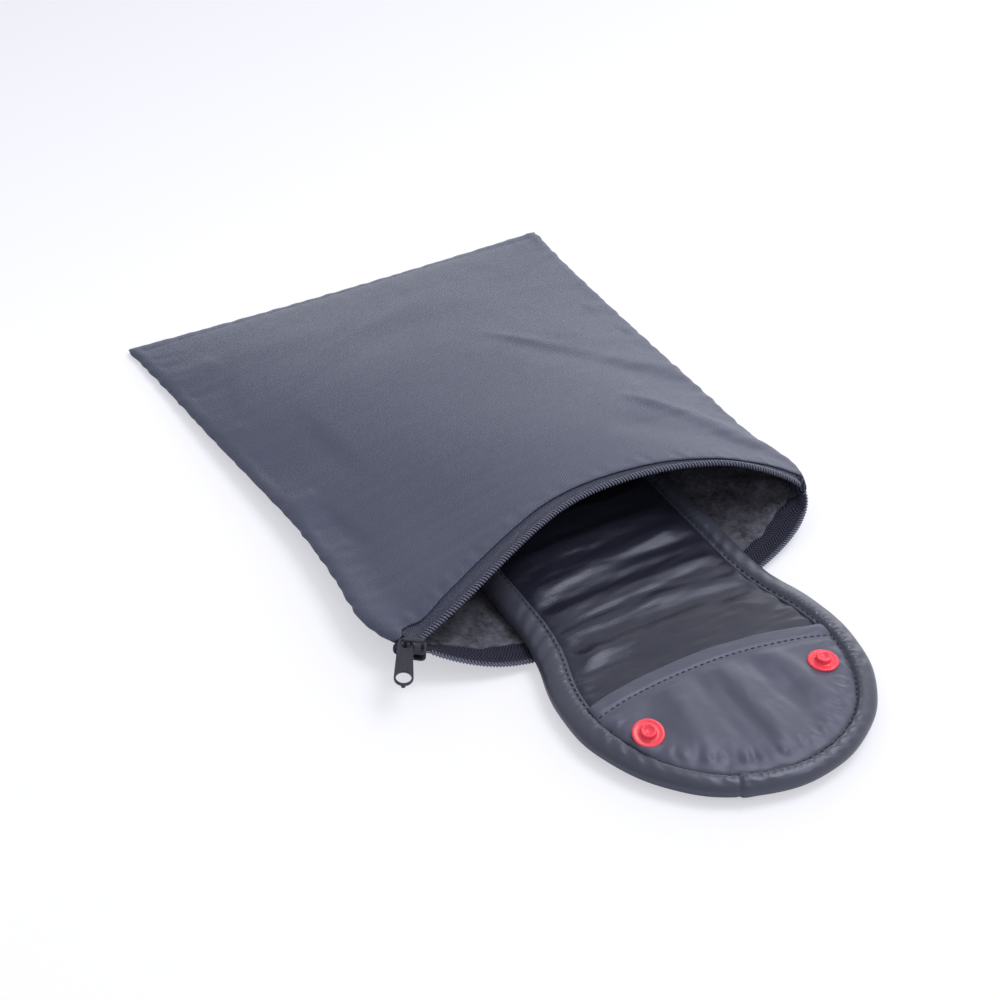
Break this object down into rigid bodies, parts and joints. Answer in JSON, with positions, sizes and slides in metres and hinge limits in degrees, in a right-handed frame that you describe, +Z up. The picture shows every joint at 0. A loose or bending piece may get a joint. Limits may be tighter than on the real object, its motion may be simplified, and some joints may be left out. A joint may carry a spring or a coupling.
{
  "type": "zip pouch with padded panel",
  "caption": "Flat zip-mouthed pouch of coated fabric, lying open, with a padded bound panel, carrying a slip pocket and plastic snap studs, that slides out of its mouth.",
  "frame": {"origin": "on the surface it lies on, under the middle of the pouch", "axes": "+Z up, +Y towards the closed back, -Y out of the mouth and along the padded panel, X along the mouth"},
  "size_m": [0.2122, 0.344, 0.0336],
  "materials": {
    "coated_fabric": "satin coated twill",
    "brushed_lining": "brushed knit",
    "zip_tape": "woven herringbone",
    "zip_coil": "nylon",
    "painted_zinc": "satin black paint",
    "spring_steel": "plain",
    "batting": "loose felted batting",
    "panel_fabric": "soft glossy coated fabric",
    "binding": "coated bias binding",
    "red_plastic": "polished"
  },
  "bodies": {
    "pouch": {"top_panel": "coated_fabric", "bottom_panel": "coated_fabric", "top_lining": "brushed_lining", "bottom_lining": "brushed_lining", "left_seam_allowance": "coated_fabric", "right_seam_allowance": "coated_fabric", "back_seam_allowance": "coated_fabric", "upper_tape": "zip_tape", "lower_tape": "zip_tape", "upper_coil": "zip_coil", "lower_coil": "zip_coil", "closed_chain": "zip_coil", "left_end_tab": "zip_tape", "right_end_tab": "zip_tape"},
    "slider": {"slider_body": "painted_zinc", "slider_bridge": "painted_zinc", "lock_spring": "spring_steel"},
    "pull": {"pull_tab": "painted_zinc"},
    "padded_panel": {"edge_binding": "binding", "back_cover": "panel_fabric", "padding_core": "batting", "face_cover": "panel_fabric", "pocket_panel": "panel_fabric", "pocket_hem": "panel_fabric", "left_snap_stud": "red_plastic", "right_snap_stud": "red_plastic", "left_snap_cap": "red_plastic", "right_snap_cap": "red_plastic"}
  },
  "joints": [
    {"name": "panel_slide", "type": "slide", "parent": "pouch", "child": "padded_panel", "axis": [0, 1, 0], "range_m": [-0.06, 0.1]},
    {"name": "zip_slide", "type": "slide", "parent": "pouch", "child": "slider", "axis": [0.998, 0.0634, 0], "range_m": [0, 0.162]},
    {"name": "pull_swivel", "type": "hinge", "parent": "slider", "child": "pull", "pos_m": [-0.10004, -0.12271, 0.01595], "axis": [0, 0, -1], "range_deg": [-10, 110]}
  ]
}
